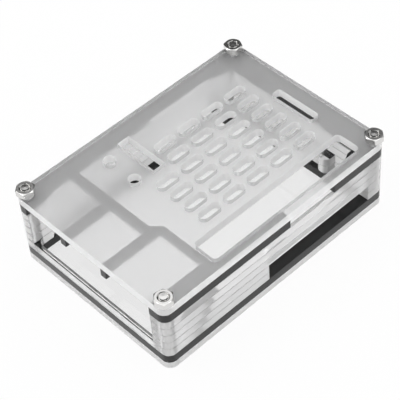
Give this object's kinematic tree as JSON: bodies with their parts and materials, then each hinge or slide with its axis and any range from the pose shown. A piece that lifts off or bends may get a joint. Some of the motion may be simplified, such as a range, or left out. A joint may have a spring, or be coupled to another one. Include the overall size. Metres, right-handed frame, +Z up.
{
  "type": "single board computer case",
  "caption": "Layered acrylic case: frosted top and base, black and clear frames stacked between them, corner screws, vents and port openings.",
  "frame": {"origin": "centre of the case's outline, on the underside of the base sheet", "axes": "+X along the long side towards the card slot end, +Y towards the video and power port side, +Z up through the stack"},
  "size_m": [0.0938, 0.067, 0.03],
  "materials": {
    "frosted_sheet": "acrylic sheet with a matte underside and clear cut edges",
    "black_sheet": "gloss black acrylic with laser-cut edges",
    "clear_sheet": "clear acrylic with laser-cut edges",
    "plated_steel": "bright nickel plate"
  },
  "bodies": {
    "root": {"base_sheet": "frosted_sheet", "lower_black_frame": "black_sheet", "clear_frame_1": "clear_sheet", "clear_frame_2_right": "clear_sheet", "clear_frame_2_front_left": "clear_sheet", "clear_frame_2_back_left": "clear_sheet", "clear_frame_3": "clear_sheet", "clear_frame_3_back_left": "clear_sheet", "clear_frame_4": "clear_sheet", "clear_frame_5": "clear_sheet", "upper_black_frame": "black_sheet", "top_sheet": "frosted_sheet", "screw_front_left": "plated_steel", "screw_front_right": "plated_steel", "screw_back_left": "plated_steel", "screw_back_right": "plated_steel", "nut_front_left": "plated_steel", "nut_front_right": "plated_steel", "nut_back_left": "plated_steel", "nut_back_right": "plated_steel"}
  },
  "joints": []
}
